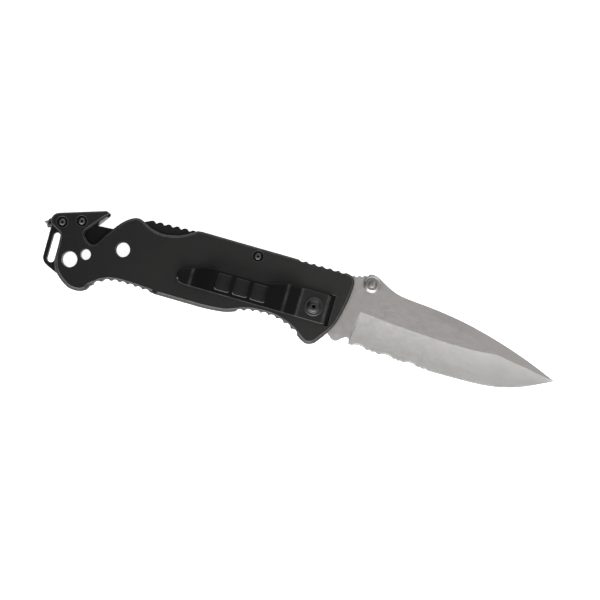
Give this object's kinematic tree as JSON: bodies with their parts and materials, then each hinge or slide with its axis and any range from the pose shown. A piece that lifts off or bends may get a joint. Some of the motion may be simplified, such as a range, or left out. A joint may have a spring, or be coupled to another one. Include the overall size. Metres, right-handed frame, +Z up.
{
  "type": "folding knife",
  "caption": "Folding rescue knife with a partly serrated blade, back lock, thumb stud, pocket clip, line cutter, lanyard slot and glass breaker.",
  "frame": {"origin": "under the middle of the open knife's bounding box, on the far handle side's outer face it rests on", "axes": "+X along the handle towards the blade's tip, +Y towards the spine, +Z up through the thickness towards the pocket clip"},
  "size_m": [0.2082, 0.0379, 0.0158],
  "materials": {
    "anodised_aluminium": "black hard anodised, fine matte",
    "blade_steel": "satin ground steel",
    "stud_steel": "bright turned steel",
    "black_steel": "black oxide steel",
    "clip_steel": "black coated spring steel",
    "screw_steel": "black oxide screw steel",
    "pin_steel": "plain turned steel",
    "spring_steel": "tempered spring steel",
    "washer_bronze": "phosphor bronze",
    "carbide": "ground tungsten carbide"
  },
  "bodies": {
    "handle": {"clip_side_scale": "anodised_aluminium", "far_side_scale": "anodised_aluminium", "pivot_barrel": "screw_steel", "pivot_screw": "screw_steel", "pivot_washer_near": "washer_bronze", "pivot_washer_far": "washer_bronze", "pocket_clip": "clip_steel", "lock_bar_barrel": "pin_steel", "lock_bar_screws": "screw_steel", "lock_spring": "spring_steel", "back_spacer": "black_steel", "spacer_pins": "pin_steel", "tail_plate": "black_steel", "cutter_barrels": "pin_steel", "cutter_screws": "screw_steel", "breaker_body": "screw_steel", "breaker_tip": "carbide"},
    "blade_group": {"blade": "blade_steel", "thumb_stud_near": "stud_steel", "thumb_stud_far": "stud_steel"},
    "lock_group": {"lock_bar": "black_steel"}
  },
  "joints": [
    {"name": "blade_fold", "type": "hinge", "parent": "handle", "child": "blade_group", "pos_m": [0.0059, 0.00065, 0.0063], "axis": [0, 0, 1], "range_deg": [-170, 0]},
    {"name": "lock_release", "type": "hinge", "parent": "handle", "child": "lock_group", "pos_m": [-0.0202, 0.01345, 0.0063], "axis": [0, 0, 1], "range_deg": [0, 3.5], "stiffness_Nm_per_rad": 2, "springref_deg": -5.73, "deforming": ["lock_spring"]}
  ]
}
